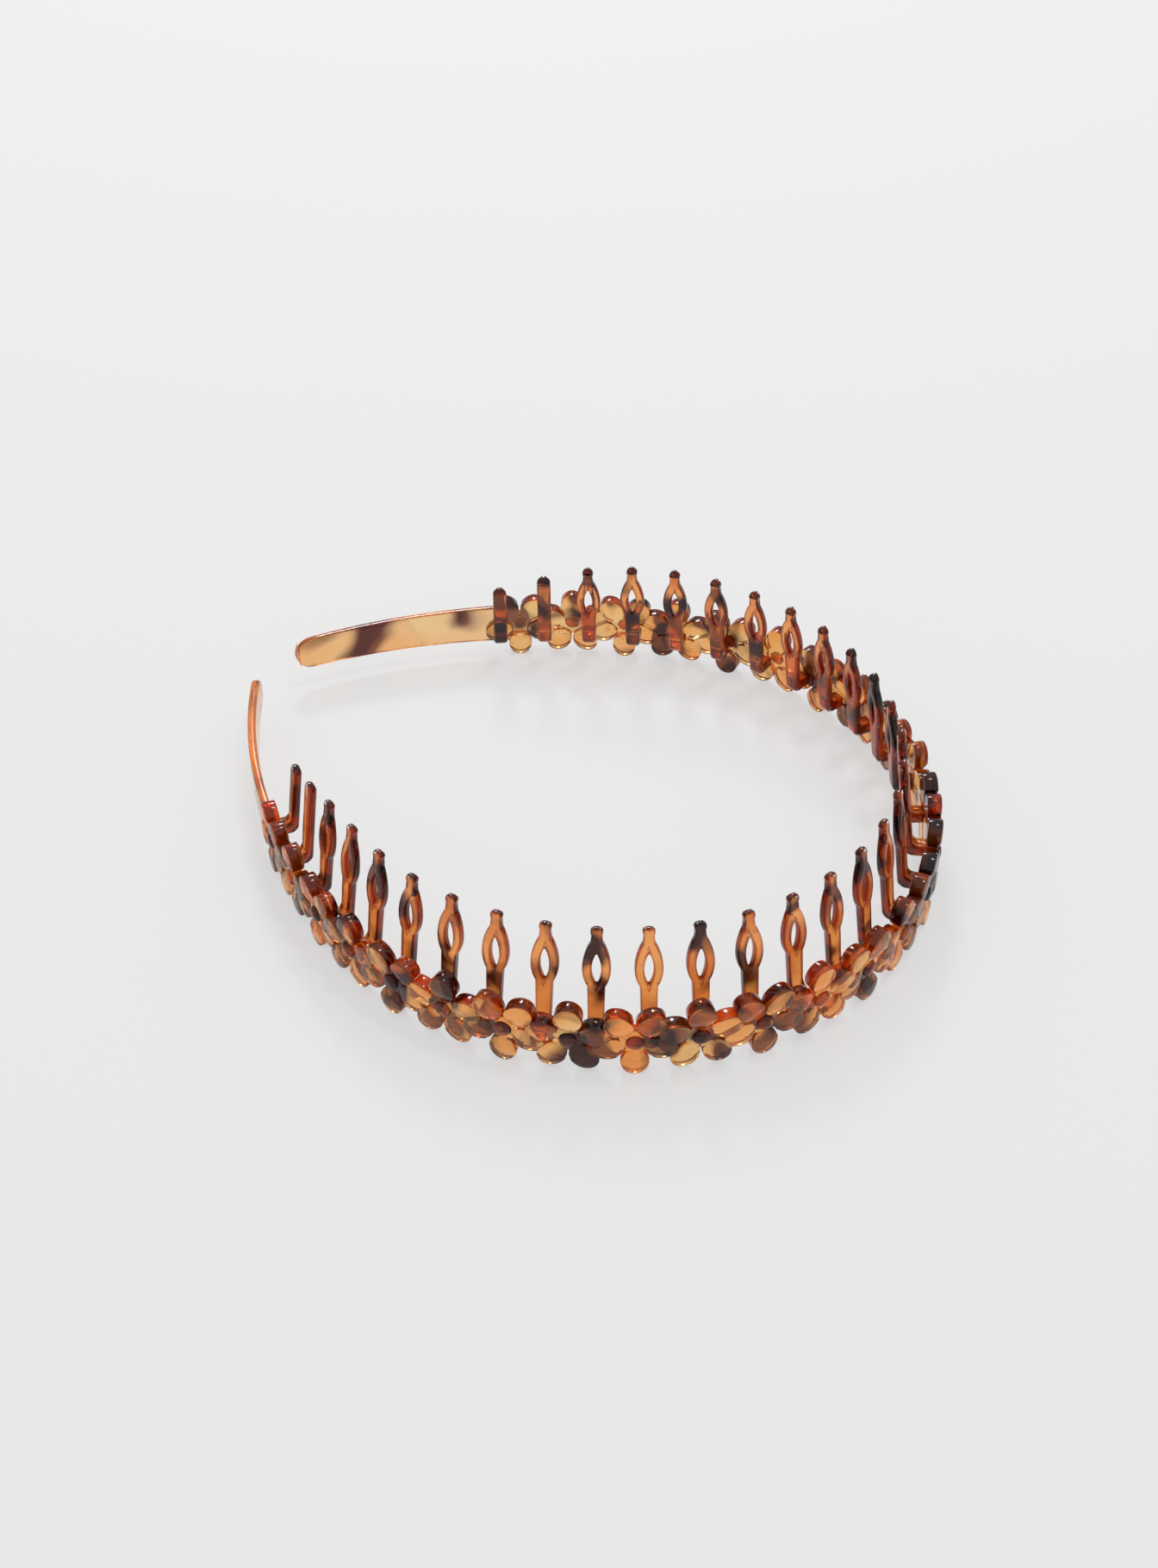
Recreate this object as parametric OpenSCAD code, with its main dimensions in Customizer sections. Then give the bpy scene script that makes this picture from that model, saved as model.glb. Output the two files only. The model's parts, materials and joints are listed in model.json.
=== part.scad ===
// Headband: a chain of moulded flowers that ends in two flat tails, with a comb of teeth inside it.
// It lies on its edge. Z is up, the crown is at +X, the open end at -X, and the left side is at +Y.
// All places are set out along the comb line, which runs round the band just inside the flowers.

/* [Comb line] */
// Radius of the comb line over the crown
crown_r = 55; // [50:0.5:60]
// Radius of the comb line down each side
side_r = 61; // [55:0.5:68]
// Radius of the comb line along each end and its tail
arm_r = 120; // [100:1:200]
// Distance along the comb line from the middle of the crown to the end of a tail
arm_length = 191; // [180:1:196]

/* [Flowers] */
// Number of flowers on each side of the crown flower
side_flowers = 13; // [13:1:13]
// Distance from one flower to the next along the comb line
flower_pitch = 11; // [10.9:0.05:11.5]
// Distance from the middle of a flower to the middle of a petal's round end
petal_ring = 5.05; // [4.9:0.05:5.2]
// Radius of a petal's round end
petal_r = 2.4; // [2.25:0.05:2.45]
// Distance from the middle of a flower to the middle of a petal's heel
heel_ring = 3.9; // [3.8:0.05:4.1]
// Radius of a petal's heel, its narrower inner end
heel_r = 2.2; // [2.1:0.05:2.25]
// Radius of the middle that holds the petals together
web_r = 2.7; // [2.4:0.1:3]
// Radius of the button in the middle of a flower
centre_r = 1.55; // [1.3:0.05:1.7]
// Height of the button above the petals
centre_rise = 0.15; // [0.1:0.05:0.4]
// Thickness of a flower, through the band
flower_t = 2.9; // [2.5:0.1:3.2]
// Gap between the back of the flowers and the comb line
back_gap = 1.3; // [1:0.1:1.6]

/* [Tails] */
// Width of a tail where it leaves the last flower
tail_root_w = 8.6; // [7:0.1:9.4]
// Width of a tail at its round end
tail_end_w = 7.2; // [6:0.1:8]
// Thickness of a tail
tail_t = 1.7; // [1.4:0.1:2.2]

/* [Teeth] */
// Number of looped teeth on each side
side_loops = 14; // [14:1:14]
// Number of plain teeth after them on each side
side_plains = 2; // [2:1:2]
// Distance from one tooth to the next along the comb line
tooth_pitch = 9.5; // [9.3:0.05:9.6]
// Height of the tip of a full tooth above the lowest petal
tooth_top = 27.45; // [25:0.05:30]
// Thickness of a tooth, through the band
tooth_t = 1.7; // [1.5:0.1:1.9]
// Width of a tooth's stem
stem_w = 2.8; // [2.5:0.05:3.1]
// Height of the foot that joins a tooth to the flowers
foot_h = 2.9; // [2.4:0.1:3.2]
// Distance of a tooth's sharp lower corner inside the comb line
tooth_reach = 2.45; // [2.2:0.05:2.8]
// Angle by which a tooth leans inwards
tooth_lean = 7.4; // [5:0.1:9]

/* [Loops] */
// Width of the leaf-shaped loop
leaf_w = 5; // [4.6:0.1:5.2]
// Distance from the tip down to the widest part of the loop
leaf_drop = 8.95; // [8.7:0.05:9.3]
// Height at which the loop's upper sides would meet, above its widest part
leaf_up = 7.2; // [7:0.1:7.6]
// Depth at which the loop's lower sides would meet, below its widest part
leaf_down = 5.6; // [5.4:0.1:5.8]
// Width of the opening in the loop
eye_w = 1.65; // [1.4:0.05:1.9]
// Height of the opening in the loop
eye_h = 6.9; // [6.5:0.1:7.2]
// Width of the rounded knob on top
knob_w = 2.2; // [2:0.05:2.4]

/* [Flexing] */
// Free space between flowers where the band bends, along the band
flex_gap = 0.3; // [0.2:0.05:0.4]

/* [Hidden] */
$fn = 64;
over = 1;                                         // how far a cutter runs past what it cuts
arc_step = 15;                                    // angle between points on a rounded corner

// The comb line is three arcs on each side, and each changes to the next between two flowers.
crown_end = 3.5*flower_pitch;
side_end = 10.5*flower_pitch;
crown_turn = crown_end/crown_r*180/PI;
side_turn = crown_turn + (side_end - crown_end)/side_r*180/PI;
crown_c = [-crown_r, 0];
side_c = crown_c + (crown_r - side_r)*[cos(crown_turn), sin(crown_turn)];
arm_c = side_c + (side_r - arm_r)*[cos(side_turn), sin(side_turn)];

// For a distance s along the left side: the arc's number, its radius, its centre, its angle from +X.
function arc_no(s) = s < crown_end ? 0 : s < side_end ? 1 : 2;
function arc_r(s) = [crown_r, side_r, arm_r][arc_no(s)];
function arc_c(s) = [crown_c, side_c, arm_c][arc_no(s)];
function arc_start(s) = [0, crown_end, side_end][arc_no(s)];
function turn(s) = [0, crown_turn, side_turn][arc_no(s)] + (s - arc_start(s))/arc_r(s)*180/PI;

// The band is centred over the origin, from the crown flower's button to the tips of the tails.
face_gap = back_gap + flower_t;
tail_in = back_gap + (flower_t - tail_t)/2;
front_x = face_gap + centre_rise;
back_x = arm_c[0] + (arm_r + tail_in + tail_t)*cos(turn(arm_length));
shift_x = -(front_x + back_x)/2;

// The band stands on the lowest petals.
petal_reach = petal_ring + petal_r;
mid_z = petal_reach;

// Tooth tips: the last teeth get shorter towards the tails.
end_drop = [0.4, 1.4, 4, 6.8];
side_teeth = side_loops + side_plains;
full_teeth = side_teeth - len(end_drop);
foot_z = mid_z - 2.5;
foot_r = 2.2;
fillet_r = 1.2;
tip_in_r = 1.2;
tip_out_r = 0.3;
foot_round = 1.1;
neck_z = 3;

// Bends are halfway between two flowers, given as the number of flowers inside them.
bends = [2, 4, 9];

function tooth_s(n) = (n - 0.5)*tooth_pitch;
function tooth_tip(n) = tooth_top - (n > full_teeth ? end_drop[n - full_teeth - 1] : 0);
function is_bend(m) = len(search(m, bends)) > 0;
function side_name(side) = side > 0 ? "left" : "right";
function flower_name(m, side) = str("flower_", side_name(side), "_", m);
function tooth_name(n, side) = str("tooth_", side_name(side), "_", n);
function plain_name(side) = str("plain_teeth_", side_name(side));
function tail_name(side) = str("tail_", side_name(side));

// Points on a rounded corner, from angle a0 to a1.
function corner(c, r, a0, a1) =
    let (n = max(1, round(abs(a1 - a0)/arc_step)))
    [for (i = [0:n]) c + r*[cos(a0 + (a1 - a0)*i/n), sin(a0 + (a1 - a0)*i/n)]];

// Puts a side's children in place: side 1 is the left and side -1 its mirror image.
module on_side(side)
    translate([shift_x, 0, 0])
        if (side > 0) children(); else mirror([0, 1, 0]) children();

// Sets its children at distance s: their X runs outwards, their Y along the band, Z up from the middle.
module at(s)
    translate([arc_c(s)[0], arc_c(s)[1], mid_z]) rotate(turn(s))
        translate([arc_r(s), 0, 0]) children();

// Stands a flat outline up: its X runs along the band and its Y up, and it reaches from in to out.
module stand(in, out)
    translate([in, 0, 0]) rotate([90, 0, 90]) linear_extrude(out - in) children();

// A wall that follows the band's arc at s, between two distances outside the comb line.
module band_wall(s, in, out, half_h)
    translate([arc_c(s)[0], arc_c(s)[1], mid_z - half_h])
        difference() {
            cylinder(r = arc_r(s) + out, h = 2*half_h, $fn = 256);
            translate([0, 0, -over]) cylinder(r = arc_r(s) + in, h = 2*half_h + 2*over, $fn = 256);
        }

// Five petals and their middle, with one petal up, or one down when flip is true.
module flower_outline(flip)
    rotate(flip ? -90 : 90) {
        circle(r = web_r);
        for (i = [0:4]) rotate(72*i) {
            translate([petal_ring, 0]) circle(r = petal_r);
            translate([heel_ring, 0]) circle(r = heel_r);
            polygon([[heel_ring, -heel_r], [petal_ring, -petal_r], [petal_ring, petal_r], [heel_ring, heel_r]]);
        }
    }

// The seam between two flowers zigzags round the petals that meet. It takes all that is beyond it.
// up says whether the flower that is kept has one petal up.
module beyond_seam(up) {
    z = up ? 1 : -1;
    polygon([[1, -9*z], [-0.1, -3.9*z], [-1.95, -1*z], [1.95, 1*z], [0.1, 3.9*z], [-1, 9*z],
             [12, 9*z], [12, -9*z]]);
}

// Cuts away what lies beyond the seam at s, which the middle of the flower sees in the direction dir.
module seam_cut(s, up, dir, gap)
    at(s) stand(-over, front_x + over)
        translate([-dir*gap/2, 0]) mirror([dir < 0 ? 1 : 0, 0]) beyond_seam(up);

// Whether the flower with this number has one petal up.
function petal_up(m) = m % 2 == 0;

// The flower with this number from the crown, before its neighbours' seams cut it.
module whole_flower(m) {
    s = m*flower_pitch;
    intersection() {
        band_wall(s, back_gap, face_gap, petal_reach + over);
        at(s) stand(0, face_gap + over) flower_outline(!petal_up(m));
    }
    at(s) stand(back_gap + 1, front_x) circle(r = centre_r);
}

module flower(m)
    color([0.76, 0.42, 0.16])
    difference() {
        whole_flower(m);
        seam_cut((m - 0.5)*flower_pitch, petal_up(m), -1, is_bend(m - 1) ? flex_gap : 0);
        if (m < side_flowers)
            seam_cut((m + 0.5)*flower_pitch, petal_up(m), 1, is_bend(m) ? flex_gap : 0);
    }

module flower_crown()
    color([0.76, 0.42, 0.16])
    translate([shift_x, 0, 0])
    difference() {
        whole_flower(0);
        seam_cut(0.5*flower_pitch, petal_up(0), 1, 0);
        mirror([0, 1, 0]) seam_cut(0.5*flower_pitch, petal_up(0), 1, 0);
    }

// A flat strip that follows the band's last arc, narrows, and has a round end.
module tail() {
    root_s = side_flowers*flower_pitch + 2;
    mid_s = (root_s + arm_length)/2;
    half_l = (arm_length - root_s)/2;
    end_r = tail_end_w/2;
    color([0.91, 0.66, 0.38])
    difference() {
        intersection() {
            band_wall(mid_s, tail_in, tail_in + tail_t, tail_root_w);
            at(mid_s) stand(-arm_r/10, arm_r/10) {
                translate([half_l - end_r, 0]) circle(r = end_r);
                polygon([[-half_l, -tail_root_w/2], [half_l - end_r, -end_r],
                         [half_l - end_r, end_r], [-half_l, tail_root_w/2]]);
            }
        }
        at(side_flowers*flower_pitch) stand(0, face_gap + over) flower_outline(!petal_up(side_flowers));
    }
}

// Side view of a tooth: X runs inwards from the comb line, and Y is the height above the middle.
module tooth_side(tip) {
    bottom = foot_z - mid_z;
    top = tip - mid_z;
    out = [cos(tooth_lean), -sin(tooth_lean)];
    corner0 = [tooth_reach, bottom];
    // a point whose distance behind the leaning inner side is d, at height y
    function behind(d, y) = [corner0[0] + ((y - bottom)*sin(tooth_lean) - d)/cos(tooth_lean), y];
    polygon(concat(
        [[-back_gap, bottom]],
        corner(behind(foot_r, bottom + foot_r), foot_r, -90, -tooth_lean),
        corner(behind(tip_in_r, top - tip_in_r), tip_in_r, -tooth_lean, 90),
        corner(behind(tooth_t - tip_out_r, top - tip_out_r), tip_out_r, 90, 180 - tooth_lean),
        corner(behind(tooth_t + fillet_r, bottom + foot_h + fillet_r), fillet_r, -tooth_lean, -90),
        [[-back_gap, bottom + foot_h]]));
}

// Front of a plain bar with round ends, from the foot to the tip.
module bar_front(w, bottom, top) {
    translate([-w/2, bottom + foot_round]) square([w, top - w/2 - bottom - foot_round]);
    translate([0, top - w/2]) circle(r = w/2);
    translate([-w/2 + foot_round, bottom]) square([w - 2*foot_round, foot_round]);
    for (x = [-1, 1]) translate([x*(w/2 - foot_round), bottom + foot_round]) circle(r = foot_round);
}

// A pointed oval, made by two circles that overlap.
module pointed_oval(w, h) {
    r = (w*w + h*h)/(4*w);
    intersection() {
        translate([r - w/2, 0]) circle(r = r, $fn = 180);
        translate([w/2 - r, 0]) circle(r = r, $fn = 180);
    }
}

// The upper or lower half of a pointed oval whose point is at height h above or below its middle.
module half_oval(w, h, up)
    intersection() {
        pointed_oval(w, 2*h);
        translate([-w, up > 0 ? 0 : -h]) square([2*w, h]);
    }

// Front of a looped tooth: a stem, a leaf with an opening, and a rounded knob.
module loop_front(tip) {
    top = tip - mid_z;
    leaf_z = top - leaf_drop;
    neck_w = 0.85*knob_w;
    difference() {
        union() {
            bar_front(stem_w, foot_z - mid_z, leaf_z - stem_w/2);
            translate([0, leaf_z]) half_oval(leaf_w, leaf_up, 1);
            translate([0, leaf_z]) half_oval(leaf_w, leaf_down, -1);
            translate([-neck_w/2, top - neck_z - 1]) square([neck_w, neck_z + 1 - knob_w/2]);
            translate([0, top - knob_w/2]) circle(r = knob_w/2);
        }
        translate([0, leaf_z]) pointed_oval(eye_w, eye_h);
    }
}

// A tooth at distance s: the side view and the front view together give its shape.
module tooth_solid(s, tip)
    difference() {
        intersection() {
            at(s) rotate([90, 0, 180]) translate([0, 0, -leaf_w])
                linear_extrude(2*leaf_w) tooth_side(tip);
            at(s) stand(-3*tooth_reach, back_gap + over) children();
        }
        band_wall(s, back_gap, face_gap, petal_reach + over);
    }

module tooth(n)
    color([0.66, 0.33, 0.13])
    tooth_solid(tooth_s(n), tooth_tip(n)) loop_front(tooth_tip(n));

module plain_teeth()
    color([0.66, 0.33, 0.13])
    for (n = [side_loops + 1:side_teeth])
        tooth_solid(tooth_s(n), tooth_tip(n))
            bar_front(stem_w, foot_z - mid_z, tooth_tip(n) - mid_z);

flower_crown();
for (side = [1, -1]) {
    for (m = [1:side_flowers])
        on_side(side) flower(m);
    for (n = [1:side_loops])
        on_side(side) tooth(n);
    on_side(side) plain_teeth();
    on_side(side) tail();
}
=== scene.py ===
"""Headband: a chain of flowers moulded in tortoiseshell plastic, with two tails and a comb of teeth.

X runs to the crown, Y to the left side and Z up. Each piece is modelled flat in its own frame,
with X along the band, -Y outwards and Z up from the middle of the band. It is then bent to the
band's curve and set at its distance round the comb line, which runs just inside the flowers.
"""
import json
import math

import bmesh
import bpy
from mathutils import Matrix, Vector


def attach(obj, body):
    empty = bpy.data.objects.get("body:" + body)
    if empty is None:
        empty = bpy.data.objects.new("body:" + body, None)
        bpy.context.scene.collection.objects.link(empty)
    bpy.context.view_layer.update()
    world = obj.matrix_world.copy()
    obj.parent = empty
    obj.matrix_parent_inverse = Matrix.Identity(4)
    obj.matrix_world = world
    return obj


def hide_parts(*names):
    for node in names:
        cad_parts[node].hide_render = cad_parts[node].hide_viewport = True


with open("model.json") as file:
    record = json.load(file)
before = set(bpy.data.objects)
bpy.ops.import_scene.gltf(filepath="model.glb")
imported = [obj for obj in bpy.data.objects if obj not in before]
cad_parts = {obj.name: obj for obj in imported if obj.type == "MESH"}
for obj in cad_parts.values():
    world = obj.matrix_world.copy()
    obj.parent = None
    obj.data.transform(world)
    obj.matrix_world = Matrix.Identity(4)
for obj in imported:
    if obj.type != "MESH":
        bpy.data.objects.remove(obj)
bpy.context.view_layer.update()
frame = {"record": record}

MM = 0.001

# ---------------------------------------------------------------- sizes, in millimetres

# Flowers and teeth on each side of the crown. The last two teeth have no loop.
FLOWER_PITCH = 11.0
TOOTH_PITCH = 9.5
SIDE_FLOWERS = 13
SIDE_LOOPS = 14
SIDE_TEETH = 16
# The comb line: three arcs on each side, which change between two flowers, and its length.
CROWN_R, SIDE_R, ARM_R = 55.0, 61.0, 120.0
CROWN_END = 3.5 * FLOWER_PITCH
SIDE_END = 10.5 * FLOWER_PITCH
ARM_LENGTH = 191.0

# The layers outside the comb line: the flowers' backs, faces and button tops, and the tails' two faces.
BACK, FACE, CENTRE_TOP = 1.3, 4.2, 4.35
TAIL_IN, TAIL_OUT = 1.9, 3.6
# The middle of the band above the floor.
MID_Z = 7.45

# ---------------------------------------------------------------- the comb line


def arc_at(s):
    """Centre, radius and angle of the comb line at a distance s from the crown (s below 0 is right)."""
    a = abs(s)
    crown_turn = CROWN_END / CROWN_R
    side_turn = crown_turn + (SIDE_END - CROWN_END) / SIDE_R
    centre = Vector((-CROWN_R, 0))
    if a < CROWN_END:
        r, turn = CROWN_R, a / CROWN_R
    else:
        centre = centre + (CROWN_R - SIDE_R) * Vector((math.cos(crown_turn), math.sin(crown_turn)))
        if a < SIDE_END:
            r, turn = SIDE_R, crown_turn + (a - CROWN_END) / SIDE_R
        else:
            centre = centre + (SIDE_R - ARM_R) * Vector((math.cos(side_turn), math.sin(side_turn)))
            r, turn = ARM_R, side_turn + (a - SIDE_END) / ARM_R
    if s < 0:
        centre.y, turn = -centre.y, -turn
    return centre, r, turn


def middle_shift():
    """How far the comb line's crown point lies from the middle of the band, along X."""
    centre, r, turn = arc_at(ARM_LENGTH)
    back = centre.x + (r + TAIL_OUT) * math.cos(turn)
    return -(CENTRE_TOP + back) / 2


SHIFT = middle_shift()


def place_at(s):
    """The matrix that sets a piece modelled in millimetres at a distance s round the comb line."""
    centre, r, turn = arc_at(s)
    out = Vector((math.cos(turn), math.sin(turn), 0))
    along = Vector((-out.y, out.x, 0))
    at = Vector((centre.x + SHIFT, centre.y, MID_Z)) + out * r
    rows = Matrix((along, -out, Vector((0, 0, 1)))).transposed().to_4x4()
    rows.translation = at
    return Matrix.Scale(MM, 4) @ rows


# ---------------------------------------------------------------- modelling helpers


def only(obj):
    """Selects this object alone."""
    bpy.ops.object.select_all(action="DESELECT")
    obj.select_set(True)
    bpy.context.view_layer.objects.active = obj
    return obj


def copy_of(obj, name):
    """A copy with a mesh of its own."""
    new = obj.copy()
    new.data = obj.data.copy()
    new.name = new.data.name = name
    bpy.context.collection.objects.link(new)
    return only(new)


def drop(obj):
    bpy.data.objects.remove(obj, do_unlink=True)


def edit(obj, mode="FACE", action="SELECT"):
    """Enters edit mode with everything selected, or nothing."""
    only(obj)
    bpy.ops.object.mode_set(mode="EDIT")
    bpy.ops.mesh.select_mode(type=mode)
    bpy.ops.mesh.select_all(action=action)


def done():
    bpy.ops.object.mode_set(mode="OBJECT")


def pick(obj, test, kind="faces"):
    """In edit mode, selects the faces or vertices that pass the test."""
    mesh = bmesh.from_edit_mesh(obj.data)
    for item in getattr(mesh, kind):
        item.select_set(bool(test(item)))
    mesh.select_flush_mode()
    bmesh.update_edit_mesh(obj.data)


def apply(obj, kind, **settings):
    """Adds a modifier, sets it and applies it."""
    only(obj)
    mod = obj.modifiers.new(kind.title(), kind)
    for key, value in settings.items():
        setattr(mod, key, value)
    bpy.ops.object.modifier_apply(modifier=mod.name)
    return obj


def boolean(obj, other, operation):
    """Joins, cuts or intersects a piece with another, which is used up."""
    apply(obj, "BOOLEAN", object=other, operation=operation, solver="EXACT")
    drop(other)
    return obj


def thicken(obj, move):
    """Gives a flat sheet its thickness, from edit mode, and turns its faces outwards."""
    bpy.ops.mesh.extrude_region_move(TRANSFORM_OT_translate={"value": move})
    bpy.ops.mesh.select_all(action="SELECT")
    bpy.ops.mesh.normals_make_consistent(inside=False)
    done()
    return obj


def prism(name, outline, low, high, side="front"):
    """A slab whose outline is drawn in a plane: front draws X and Z, side draws Y and Z."""
    bpy.ops.mesh.primitive_circle_add(vertices=len(outline), radius=1, fill_type="NGON")
    obj = bpy.context.object
    obj.name = obj.data.name = name
    for vert, (u, v) in zip(obj.data.vertices, outline):
        vert.co = (u, low, v) if side == "front" else (low, u, v)
    edit(obj)
    return thicken(obj, (0, high - low, 0) if side == "front" else (high - low, 0, 0))


def turned(obj, degrees):
    """Turns a piece in the plane of the flowers' faces, round its origin."""
    edit(obj)
    bpy.ops.transform.rotate(value=math.radians(degrees), orient_axis="Y", center_override=(0, 0, 0))
    done()
    return obj


def bend(obj, radius):
    """Bends a flat piece round the band's curve, so that -Y stays outwards."""
    xs = [v.co.x for v in obj.data.vertices]
    angle = (max(xs) - min(xs)) / radius
    return apply(obj, "SIMPLE_DEFORM", deform_method="BEND", deform_axis="Z", angle=angle)


def mark_edges(obj, turn_of):
    """Stores at each point how far the surface turns from the face to the edge, from 0 to 1, which sets
    where the plastics paint shade on the edges.
    """
    edge = obj.data.attributes.new("edge", "FLOAT", "POINT")
    for vert in obj.data.vertices:
        edge.data[vert.index].value = turn_of(vert)


def off_face(vert):
    """How far a point's normal turns away from the face of a flower or a tail."""
    return 1 - abs(vert.normal.y)


def arc(cx, cy, r, a0, a1, steps):
    """Points on a round corner, from angle a0 to a1 in degrees."""
    angles = [math.radians(a0 + (a1 - a0) * i / steps) for i in range(steps + 1)]
    return [(cx + r * math.cos(a), cy + r * math.sin(a)) for a in angles]


# ---------------------------------------------------------------- flowers

PETALS = 5
# A petal is an oval: half its width, half its length and how far out its middle is.
PETAL_HALF_W, PETAL_HALF_L, PETAL_RING = 2.4, 2.95, 4.5
# Heights below which it narrows towards its heel, with the share of the width that stays.
PETAL_PINCHES = [(-0.6, 0.97), (-1.5, 0.95), (-2.3, 0.92)]
# At each of them, the points further out than this move in by the step: the face slopes to the button.
PETAL_FRONT, HEEL_STEP = 3.0, 0.2
# The web joins the petals behind their faces. The button stands in the middle.
WEB_R, WEB_BACK, WEB_FACE = 2.75, BACK + 0.35, FACE - 0.75
BUTTON_R, BUTTON_BACK, BUTTON_SIDES = 1.55, BACK + 0.5, 32
# The button's own material covers what lies within this radius and further out than this.
BUTTON_LOOK_R, BUTTON_LOOK_FROM = 1.57, 3.5
# How far each ring of a face steps in and rises, from the rounded edge to the gentle dome.
FRONT_RINGS = [(0.05, 0.16), (0.11, 0.11), (0.16, 0.06), (0.5, 0.08), (0.7, 0.05)]
BACK_RINGS = [(0.03, 0.08), (0.08, 0.05), (0.5, 0.04), (0.7, 0.02)]
BUTTON_RINGS = [(0.06, 0.3), (0.14, 0.25), (0.26, 0.2), (0.42, 0.12), (0.4, 0.04)]
WEB_RINGS = [(0.1, 0.1), (0.3, 0.06)]


def domed_button(name, radius, out_in, out_out, back, front, sides=36):
    """A round slab between two distances out, with each face inset in rings and raised to a dome."""
    low = out_in + sum(up for _, up in back)
    high = out_out - sum(up for _, up in front)
    bpy.ops.mesh.primitive_cylinder_add(
        vertices=sides, radius=radius, depth=high - low, end_fill_type="NGON",
        location=(0, -(low + high) / 2, 0), rotation=(math.pi / 2, 0, 0))
    obj = bpy.context.object
    obj.name = obj.data.name = name
    bpy.ops.object.transform_apply(location=True, rotation=True, scale=True)
    edit(obj, action="DESELECT")
    for way, rings in ((1, back), (-1, front)):
        pick(obj, lambda f: f.normal.y * way > 0.9 and len(f.verts) == sides)
        for inset, up in rings:
            bpy.ops.mesh.inset(thickness=inset, depth=up)
        bpy.ops.mesh.poke()
    done()
    return obj


def make_petal():
    """An oval petal that points up, a little narrower at its heel."""
    obj = domed_button("petal", PETAL_HALF_W, BACK, FACE, BACK_RINGS, FRONT_RINGS)
    edit(obj, "VERT")
    bpy.ops.transform.resize(value=(1, 1, PETAL_HALF_L / PETAL_HALF_W), center_override=(0, 0, 0))
    for level, pinch in PETAL_PINCHES:
        pick(obj, lambda v: v.co.z < level, "verts")
        bpy.ops.transform.resize(value=(pinch, 1, 1), center_override=(0, 0, 0))
        pick(obj, lambda v: v.co.z < level and v.co.y < -PETAL_FRONT, "verts")
        bpy.ops.transform.translate(value=(0, HEEL_STEP, 0))
    bpy.ops.mesh.select_all(action="SELECT")
    bpy.ops.transform.translate(value=(0, 0, PETAL_RING))
    done()
    return obj


def make_flower():
    """Five petals, a web between them that is set back, and a round button in the middle."""
    flower = domed_button("flower", WEB_R, WEB_BACK, WEB_FACE, WEB_RINGS, WEB_RINGS)
    petal = make_petal()
    for i in range(PETALS):
        boolean(flower, turned(copy_of(petal, "petal_copy"), 360 / PETALS * i), "UNION")
    drop(petal)
    button = domed_button("button", BUTTON_R, BUTTON_BACK, CENTRE_TOP, WEB_RINGS, BUTTON_RINGS, BUTTON_SIDES)
    boolean(flower, button, "UNION")
    for face in flower.data.polygons:
        x, y, z = face.center
        on_button = math.hypot(x, z) < BUTTON_LOOK_R and y < -BUTTON_LOOK_FROM
        face.material_index = 1 if on_button else 0
    return flower


# The seam between two flowers zigzags round the petals that meet: X from halfway, Z up.
SEAM = [(1, -9), (-0.1, -3.9), (-1.95, -1), (1.95, 1), (0.1, 3.9), (-1, 9)]
SEAM_GAP = 0.05
# The block that cuts the seam reaches this far along, this far up, and from outside to inside.
SEAM_ALONG, SEAM_UP, SEAM_DEPTH = 20, 9, (-8, 2)


def cut_seam(flower, way):
    """Cuts a flower with one petal up along the seam with its neighbour, on the side way."""
    half = FLOWER_PITCH / 2 - SEAM_GAP / 2
    line = [(way * (half + x), z) for x, z in SEAM]
    far = [(way * SEAM_ALONG, SEAM_UP), (way * SEAM_ALONG, -SEAM_UP)]
    return boolean(flower, prism("seam", line + far, *SEAM_DEPTH), "DIFFERENCE")


def flower_kinds():
    """A whole flower, one cut on both sides, and one cut on each side alone."""
    whole = make_flower()
    kinds = {"whole": whole}
    for name, ways in (("both", (1, -1)), ("plus", (1,)), ("minus", (-1,))):
        one = copy_of(whole, "flower_" + name)
        for way in ways:
            cut_seam(one, way)
        kinds[name] = one
    return kinds


# ---------------------------------------------------------------- teeth

# Side view: the foot's underside and height and how far it reaches into the flowers; then the blade,
# which would meet the underside this far inside the comb line, its thickness and how it leans.
FOOT_Z, FOOT_H, FOOT_ROOT = -2.5, 2.9, -BACK - 0.9
BLADE_REACH, TOOTH_T, LEAN = 2.45, 1.7, math.radians(7.4)
# The rounded corners of that view: below the blade, in the crook and at the tip, inside and outside.
HEEL_R, CROOK_R, TIP_IN_R, TIP_OUT_R = 2.2, 1.2, 1.2, 0.35
# Front view: the stem and its lower corners, the leaf, the eye in it and the knob and neck over it.
STEM_W, STEM_CORNER = 2.8, 1.1
LEAF_W, LEAF_UP, LEAF_DOWN = 5.0, 7.2, 5.6
EYE_W, EYE_H = 1.62, 6.9
KNOB_W = 2.2
NECK_HALF = 0.4 * KNOB_W
# The leaf's middle below the tip, and where its curves stop short of their points.
LEAF_DROP = 8.95
LEAF_DOWN_CUT, LEAF_UP_CUT = 0.8, 1.1
# Points of the leaf nearer to the stem or neck than this are left out.
MERGE = 0.04
# A full tooth's tip above the middle of the band, and how much lower the last four end.
FULL_TIP = 27.45 - MID_Z
TIP_DROPS = {13: 0.4, 14: 1.4, 15: 4.0, 16: 6.8}
# The rounding of the edges, and the height at the tip whose upward faces also get the painted edge shade.
EDGE_R, TIP_EDGE = 0.55, 1.5
# How far the slabs of the side view and the front view reach, well past the tooth.
SIDE_SLAB, FRONT_SLAB, EYE_SLAB = (-4, 4), (-5, 12), (-6, 13)


def oval_points(w, reach, low, high, middle, steps=12):
    """The right edge of a pointed oval that would meet its left edge at the reach, bottom to top."""
    r = (w * w + 4 * reach * reach) / (4 * w)
    heights = [low + (high - low) * i / steps for i in range(steps + 1)]
    return [(w / 2 - r + math.sqrt(r * r - (z - middle) ** 2), z) for z in heights]


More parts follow.
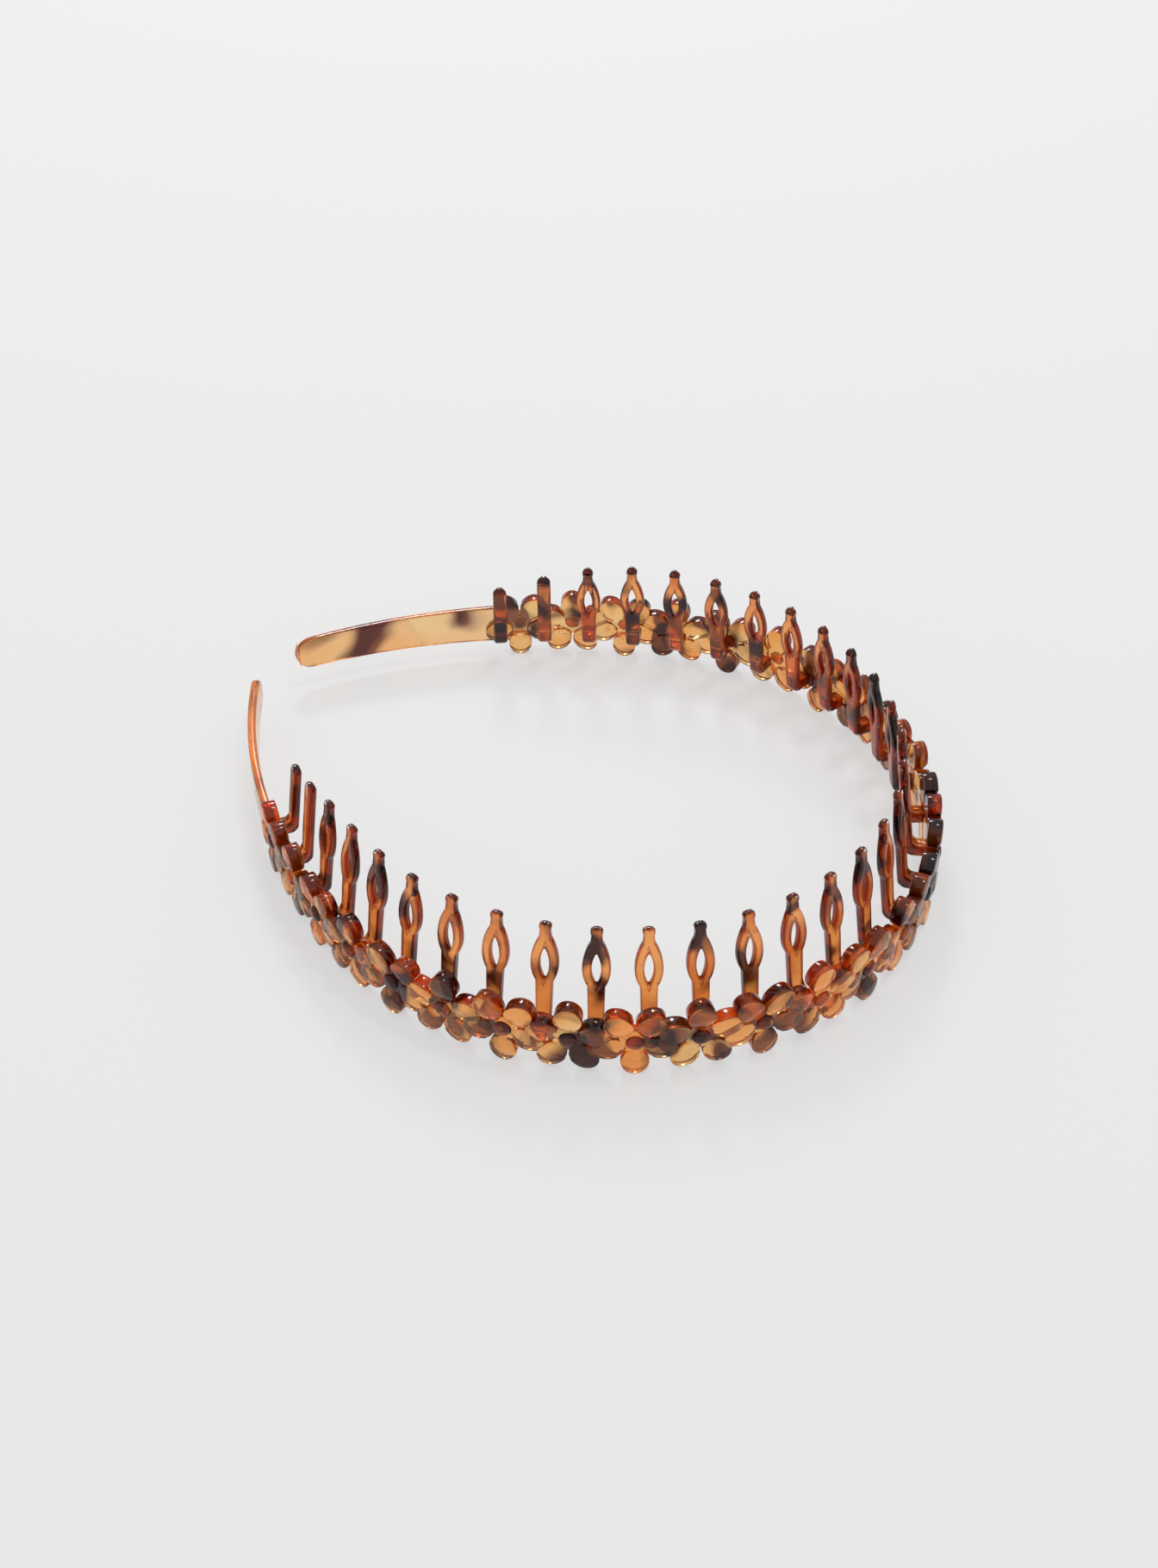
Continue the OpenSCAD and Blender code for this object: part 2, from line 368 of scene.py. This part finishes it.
def mirrored(points):
    """Closes an outline from its right half, listed from the bottom up."""
    return points + [(-x, z) for x, z in reversed(points) if x > 1e-6]


def tooth_side(top):
    """The side view of a tooth: a foot from the flowers, a round corner and a leaning blade."""
    lean = math.degrees(LEAN)

    def behind(d, z):
        """The point at this height that lies a distance d behind the blade's inner face."""
        return (BLADE_REACH + ((z - FOOT_Z) * math.sin(LEAN) - d) / math.cos(LEAN), z)

    points = [(FOOT_ROOT, FOOT_Z)]
    points += arc(*behind(HEEL_R, FOOT_Z + HEEL_R), HEEL_R, -90, -lean, 10)
    points += arc(*behind(TIP_IN_R, top - TIP_IN_R), TIP_IN_R, -lean, 90, 10)
    points += arc(*behind(TOOTH_T - TIP_OUT_R, top - TIP_OUT_R), TIP_OUT_R, 90, 180 - lean, 4)
    points += arc(*behind(TOOTH_T + CROOK_R, FOOT_Z + FOOT_H + CROOK_R), CROOK_R, -lean, -90, 8)
    return points + [(FOOT_ROOT, FOOT_Z + FOOT_H)]


def stem_foot():
    """The lower right corner of the stem in the front view."""
    return arc(STEM_W / 2 - STEM_CORNER, FOOT_Z + STEM_CORNER, STEM_CORNER, -90, 0, 7)


def bar_front(top):
    """The front view of a plain tooth: a bar with a round tip."""
    half = STEM_W / 2
    return mirrored(stem_foot() + arc(0, top - half, half, 0, 90, 10))


def loop_front(top):
    """The front view of a looped tooth: stem, leaf, neck and knob."""
    middle = top - LEAF_DROP
    lower = oval_points(LEAF_W, LEAF_DOWN, middle - LEAF_DOWN + LEAF_DOWN_CUT, middle, middle)
    upper = oval_points(LEAF_W, LEAF_UP, middle, middle + LEAF_UP - LEAF_UP_CUT, middle)
    right = stem_foot()
    right += [(x, z) for x, z in lower if x > STEM_W / 2 + MERGE]
    right += [(x, z) for x, z in upper[1:] if x > NECK_HALF + MERGE]
    return mirrored(right + arc(0, top - KNOB_W / 2, KNOB_W / 2, -30, 90, 12))


def make_tooth(number):
    """A tooth is what its side view and its front view have in common, with rounded edges."""
    top = FULL_TIP - TIP_DROPS.get(number, 0)
    tooth = prism("tooth", tooth_side(top), *SIDE_SLAB, side="side")
    if number > SIDE_LOOPS:
        front = prism("front", bar_front(top), *FRONT_SLAB)
    else:
        front = prism("front", loop_front(top), *FRONT_SLAB)
        middle = top - LEAF_DROP
        half = oval_points(EYE_W, EYE_H / 2, middle - EYE_H / 2, middle + EYE_H / 2, middle, 16)
        boolean(front, prism("eye", mirrored(half), *EYE_SLAB), "DIFFERENCE")
    boolean(tooth, front, "INTERSECT")
    edit(tooth, "VERT")
    bpy.ops.mesh.remove_doubles(threshold=0.03)
    done()
    apply(tooth, "BEVEL", width=EDGE_R, segments=4, limit_method="ANGLE", angle_limit=math.radians(38),
          offset_type="OFFSET", use_clamp_overlap=False)
    # the painted edge shade falls on faces turned sideways, and on upward faces near the tip
    mark_edges(tooth, lambda v: max(abs(v.normal.x), v.normal.z if v.co.z > top - TIP_EDGE else 0))
    return tooth


# ---------------------------------------------------------------- tails

# Half the height of a tail at its root and before its round end.
TAIL_ROOT_HALF, TAIL_END_HALF = 4.3, 3.6
# Where a tail starts, inside the last flower, and where it ends, along the comb line.
TAIL_ROOT = SIDE_FLOWERS * FLOWER_PITCH + 2
TAIL_TIP = ARM_LENGTH - 0.5
TAIL_EDGE_R = 0.6
# The columns of its grid, of which the last ones follow the round end.
TAIL_COLUMNS, END_COLUMNS = 40, 10


def tail_place(column):
    """Distance from the root and half the height at a column of the tail's grid."""
    straight = TAIL_TIP - TAIL_ROOT - TAIL_END_HALF
    along = TAIL_COLUMNS - END_COLUMNS
    if column <= along:
        return straight * column / along, TAIL_ROOT_HALF + (TAIL_END_HALF - TAIL_ROOT_HALF) * column / along
    a = (column - along) / END_COLUMNS * math.pi / 2
    return straight + TAIL_END_HALF * math.sin(a), TAIL_END_HALF * math.cos(a)


def make_tail():
    """A flat strip with a round end, modelled on a grid, given its thickness and rounded edges."""
    bpy.ops.mesh.primitive_grid_add(
        x_subdivisions=TAIL_COLUMNS, y_subdivisions=4, size=1, rotation=(math.pi / 2, 0, 0))
    tail = bpy.context.object
    tail.name = "tail"
    bpy.ops.object.transform_apply(location=True, rotation=True, scale=True)
    half_length = (TAIL_TIP - TAIL_ROOT) / 2
    for vert in tail.data.vertices:
        x, half = tail_place(round((vert.co.x + 0.5) * TAIL_COLUMNS))
        vert.co = (x - half_length, -TAIL_OUT, vert.co.z * 2 * half)
    edit(tail, "VERT")
    bpy.ops.mesh.remove_doubles(threshold=0.001)
    thicken(tail, (0, TAIL_OUT - TAIL_IN, 0))
    apply(tail, "BEVEL", width=TAIL_EDGE_R, segments=4, limit_method="ANGLE",
          angle_limit=math.radians(50), use_clamp_overlap=False)
    mark_edges(tail, off_face)
    return tail


# ---------------------------------------------------------------- plastics


def colour(code):
    """An sRGB hex colour as linear RGBA."""
    channels = [int(code[i:i + 2], 16) / 255 for i in (1, 3, 5)]
    return [c / 12.92 if c <= 0.04045 else ((c + 0.055) / 1.055) ** 2.4 for c in channels] + [1.0]


def add(tree, kind, links=None, stops=(), **settings):
    """Adds a node, sets its properties, inputs and ramp stops, and links inputs to other outputs."""
    new = tree.nodes.new(kind)
    for key, value in settings.items():
        if key in new.inputs:
            new.inputs[key].default_value = value
        else:
            setattr(new, key, value)
    for number, (at, value) in enumerate(stops):
        ends = new.color_ramp.elements
        stop = ends[number] if number < len(ends) else ends.new(at)
        stop.position, stop.color = at, value
    for key, source in (links or {}).items():
        tree.links.new(source, new.inputs[key])
    return new


# The sockets of a Mix node's colours, and of the colour that it gives.
MIX_A, MIX_B, MIX_RESULT = 6, 7, 2
# The step of the noise from clear to dark resin, its values at pale and at deeper amber, and how much
# larger the clouds are than the blotches.
BLOTCH_EDGE = 0.11
CLOUD_PALE, CLOUD_DEEP = 0.38, 0.6
CLOUD_SIZE = 1.6
# The turn away from the face, from 0 to 1, where the painted shade on the edges starts and where it is full.
EDGE_SHADE_START, EDGE_SHADE_FULL = 0.2, 0.75
WHITE, BLACK = (1, 1, 1, 1), (0, 0, 0, 1)


def tortoiseshell(name, light, amber, dark, painted_edge_shade, blotch_mm, dark_from, offset, depth_colour, density):
    """Tortoiseshell plastic, injection moulded and polished.

    The resin is clear amber, so it is pale where it is thin and deep orange where it is thick.
    Dark brown resin stirred into it shows as blotches with soft edges. Rounded edges and side walls
    get painted shade: their colour is multiplied by a deeper brown, for the look through more resin.
    """
    mat = bpy.data.materials.new(name)
    mat.use_nodes = True
    tree = mat.node_tree
    tree.nodes.clear()
    where = add(tree, "ShaderNodeTexCoord").outputs["Object"]
    place = add(tree, "ShaderNodeMapping", {"Vector": where}, Location=offset).outputs["Vector"]
    # blotches of the given size, with an edge that fades over about a millimetre
    blotch = add(tree, "ShaderNodeTexNoise", {"Vector": place}, Scale=1 / (blotch_mm * MM), Detail=1.0,
                 Roughness=0.4, Distortion=0.5).outputs["Fac"]
    is_dark = add(tree, "ShaderNodeValToRGB", {"Fac": blotch},
                  stops=[(dark_from, BLACK), (dark_from + BLOTCH_EDGE, WHITE)]).outputs["Color"]
    # slow clouds from pale to deeper amber
    cloud = add(tree, "ShaderNodeTexNoise", {"Vector": place}, Scale=1 / (blotch_mm * CLOUD_SIZE * MM),
                Detail=2.0, Roughness=0.5).outputs["Fac"]
    warm = add(tree, "ShaderNodeValToRGB", {"Fac": cloud},
               stops=[(CLOUD_PALE, colour(light)), (CLOUD_DEEP, colour(amber))]).outputs["Color"]
    base = add(tree, "ShaderNodeMix", {"Factor": is_dark, MIX_A: warm}, data_type="RGBA")
    base.inputs[MIX_B].default_value = colour(dark)
    # painted shade: on rounded edges and side walls the colour is multiplied by a deeper brown
    edge = add(tree, "ShaderNodeAttribute", attribute_name="edge").outputs["Fac"]
    edge_shade_colour = add(tree, "ShaderNodeValToRGB", {"Fac": edge},
                   stops=[(EDGE_SHADE_START, WHITE), (EDGE_SHADE_FULL, colour(painted_edge_shade))]).outputs["Color"]
    base_and_edge_shade = add(tree, "ShaderNodeMix", {MIX_A: base.outputs[MIX_RESULT], MIX_B: edge_shade_colour},
                 data_type="RGBA", blend_type="MULTIPLY", Factor=1.0).outputs[MIX_RESULT]
    shader = add(tree, "ShaderNodeBsdfPrincipled", {"Base Color": base_and_edge_shade}, IOR=1.46, Roughness=0.11)
    shader.inputs["Transmission Weight"].default_value = 0.93
    depth = add(tree, "ShaderNodeVolumeAbsorption", Color=colour(depth_colour), Density=density)
    add(tree, "ShaderNodeOutputMaterial",
        {"Surface": shader.outputs["BSDF"], "Volume": depth.outputs["Volume"]})
    return mat


# Each plastic's edge colour is painted shade, multiplied into its colour on rounded edges and side walls.
FLOWER_PLASTIC = tortoiseshell(
    "tortoiseshell_flowers", light="#FFDEA4", amber="#FFB466", dark="#3A140C", painted_edge_shade="#E89A50",
    blotch_mm=7.5, dark_from=0.5, offset=(0.01, 0, 0.01), depth_colour="#FFD240", density=180.0)
# The buttons are coloured a darker, browner amber than the petals, with a little more of the dark blotches.
BUTTON_PLASTIC = tortoiseshell(
    "tortoiseshell_buttons", light="#DCA468", amber="#9C6236", dark="#3A140C", painted_edge_shade="#B07848",
    blotch_mm=7.5, dark_from=0.47, offset=(0.01, 0, 0.01), depth_colour="#FFD240", density=180.0)
TOOTH_PLASTIC = tortoiseshell(
    "tortoiseshell_teeth", light="#FFBE78", amber="#E08A48", dark="#3C140C", painted_edge_shade="#A85C30",
    blotch_mm=8.5, dark_from=0.52, offset=(0.03, 0.02, 0), depth_colour="#FFC840", density=290.0)
TAIL_PLASTIC = tortoiseshell(
    "tortoiseshell_tails", light="#FFE2B4", amber="#FFC88C", dark="#5C261C", painted_edge_shade="#F4B888",
    blotch_mm=13.0, dark_from=0.55, offset=(0.02, 0, 0), depth_colour="#FFD640", density=120.0)


# ---------------------------------------------------------------- putting it together

BODY_OF = {node: body for body, nodes in frame["record"]["behaviour"]["bodies"].items() for node in nodes}


def hand_over(obj, node, matrix, *materials):
    """Puts a finished piece in place, smooths it and lets it stand for its CAD node."""
    obj.name = obj.data.name = node + "_look"
    obj.data.transform(matrix)
    obj.matrix_world = Matrix()
    only(obj)
    bpy.ops.object.shade_smooth_by_angle(angle=math.radians(36))
    for material in materials:
        obj.data.materials.append(material)
    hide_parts(node)
    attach(obj, BODY_OF[node])


def side_name(sign):
    return "left" if sign > 0 else "right"


def build_flowers():
    """Sets out the chain of flowers, every second one with a petal down, and returns the masters."""
    kinds = flower_kinds()
    for number in range(-SIDE_FLOWERS, SIDE_FLOWERS + 1):
        sign = 1 if number >= 0 else -1
        name = "flower_crown" if number == 0 else f"flower_{side_name(sign)}_{abs(number)}"
        upright = number % 2 == 0
        if abs(number) < SIDE_FLOWERS:
            kind = "both"
        else:
            crown_side = -sign if upright else sign
            kind = "plus" if crown_side > 0 else "minus"
        flower = copy_of(kinds[kind], name)
        if not upright:
            turned(flower, 180)
        s = number * FLOWER_PITCH
        bend(flower, arc_at(s)[1])
        mark_edges(flower, off_face)
        hand_over(flower, name, place_at(s), FLOWER_PLASTIC, BUTTON_PLASTIC)
    return kinds


def tooth_at(sign, number):
    """The matrix that sets a tooth: the first stands half a pitch from the crown."""
    return place_at(sign * (number - 0.5) * TOOTH_PITCH)


def build_teeth():
    """Sets out the looped teeth one by one, and the plain ones of each side as a pair."""
    masters = {number: make_tooth(number) for number in (1, *TIP_DROPS)}
    for number in range(1, SIDE_LOOPS + 1):
        master = masters.get(number, masters[1])
        for sign in (1, -1):
            tooth = copy_of(master, "tooth")
            hand_over(tooth, f"tooth_{side_name(sign)}_{number}", tooth_at(sign, number), TOOTH_PLASTIC)
    for sign in (1, -1):
        pair = [copy_of(masters[number], "plain_tooth") for number in (SIDE_LOOPS + 1, SIDE_TEETH)]
        for tooth, number in zip(pair, (SIDE_LOOPS + 1, SIDE_TEETH)):
            tooth.data.transform(tooth_at(sign, number))
        only(pair[0])
        pair[1].select_set(True)
        bpy.ops.object.join()
        hand_over(pair[0], "plain_teeth_" + side_name(sign), Matrix(), TOOTH_PLASTIC)
    for master in masters.values():
        drop(master)


def build_tails(kinds):
    """Sets a tail on each end, cut to fit against the last flower."""
    for sign in (1, -1):
        tail = make_tail()
        if sign < 0:
            turned(tail, 180)
        bend(tail, ARM_R)
        tail.data.transform(place_at(sign * (TAIL_ROOT + TAIL_TIP) / 2))
        last = turned(copy_of(kinds["whole"], "last_flower"), 180)
        bend(last, ARM_R)
        last.data.transform(place_at(sign * SIDE_FLOWERS * FLOWER_PITCH))
        boolean(tail, last, "DIFFERENCE")
        hand_over(tail, "tail_" + side_name(sign), Matrix(), TAIL_PLASTIC)


flower_masters = build_flowers()
build_teeth()
build_tails(flower_masters)
for master in flower_masters.values():
    drop(master)

# ---------------------------------------------------------------- floor, light and camera


# These are in metres, watts and degrees, as the studio isn't part of the headband.
FLOOR_SIZE = 40


def lit_paper():
    """Matt paper that is lit from below as well, so that it shows hardly any shadow."""
    mat = bpy.data.materials.new("lit_paper_floor")
    mat.use_nodes = True
    inputs = mat.node_tree.nodes["Principled BSDF"].inputs
    inputs["Base Color"].default_value = colour("#989898")
    inputs["Roughness"].default_value = 0.95
    inputs["Specular IOR Level"].default_value = 0.0
    inputs["Emission Color"].default_value = colour("#FFFFFF")
    inputs["Emission Strength"].default_value = 0.53
    return mat


def make_floor():
    bpy.ops.mesh.primitive_plane_add(size=FLOOR_SIZE, location=(0, 0, 0))
    floor = bpy.context.object
    floor.name = "floor"
    floor.data.materials.append(lit_paper())


def area_light(name, at, size, power):
    """A white softbox that points at the origin."""
    data = bpy.data.lights.new(name, "AREA")
    data.shape = "RECTANGLE"
    data.size, data.size_y = size
    data.energy = power
    lamp = bpy.data.objects.new(name, data)
    bpy.context.collection.objects.link(lamp)
    lamp.location = at
    lamp.rotation_euler = (-Vector(at)).to_track_quat("-Z", "Y").to_euler()


def make_light():
    """A white room with a dark band above the horizon, a softbox behind and a smaller one overhead."""
    world = bpy.data.worlds.new("studio")
    bpy.context.scene.world = world
    world.use_nodes = True
    tree = world.node_tree
    way = add(tree, "ShaderNodeTexCoord").outputs["Generated"]
    up = add(tree, "ShaderNodeSeparateXYZ", {"Vector": way}).outputs["Z"]
    room = [(0.15, colour("#E8E8E8")), (0.18, colour("#2A2624")), (0.46, colour("#F4F4F4"))]
    shade = add(tree, "ShaderNodeValToRGB", {"Fac": up}, stops=room).outputs["Color"]
    sky = tree.nodes["Background"]
    tree.links.new(shade, sky.inputs["Color"])
    sky.inputs["Strength"].default_value = 0.8
    area_light("key_softbox", (-0.5, 0.65, 0.72), (0.24, 0.16), 3.2)
    area_light("top_softbox", (0.12, 0.25, 1.05), (0.14, 0.14), 1.2)


# The camera's distance and the point it looks at, in millimetres, and its direction, in degrees.
CAMERA_DISTANCE = 447.5
LOOK_AT = (-75.1 + SHIFT, 8.0, 0.87)
CAMERA_ELEVATION, CAMERA_AZIMUTH, CAMERA_ROLL = 40.29, 33.73, -0.83
# The lens and the sensor in millimetres, and how far the lens is shifted, as shares of the sensor.
LENS, SENSOR = 51.39, 36
SHIFT_X, SHIFT_Y = 0.00879, 0.00055


def make_camera():
    elevation, azimuth, roll = map(math.radians, (CAMERA_ELEVATION, CAMERA_AZIMUTH, CAMERA_ROLL))
    level = math.cos(elevation)
    away = Vector((math.sin(azimuth) * level, -math.cos(azimuth) * level, math.sin(elevation)))
    right = (-away).cross(Vector((0, 0, 1))).normalized()
    up = right.cross(-away)
    rolled_right = right * math.cos(roll) + up * math.sin(roll)
    rolled_up = -right * math.sin(roll) + up * math.cos(roll)
    data = bpy.data.cameras.new("camera")
    data.sensor_width = data.sensor_height = SENSOR
    data.lens = LENS
    data.shift_x, data.shift_y = SHIFT_X, SHIFT_Y
    data.clip_start, data.clip_end = 0.01, 60
    cam = bpy.data.objects.new("camera", data)
    bpy.context.collection.objects.link(cam)
    turn = Matrix((rolled_right, rolled_up, away)).transposed().to_4x4()
    turn.translation = (Vector(LOOK_AT) + away * CAMERA_DISTANCE) * MM
    cam.matrix_world = turn
    bpy.context.scene.camera = cam


make_floor()
make_light()
make_camera()
bpy.context.scene.view_settings.view_transform = "Standard"
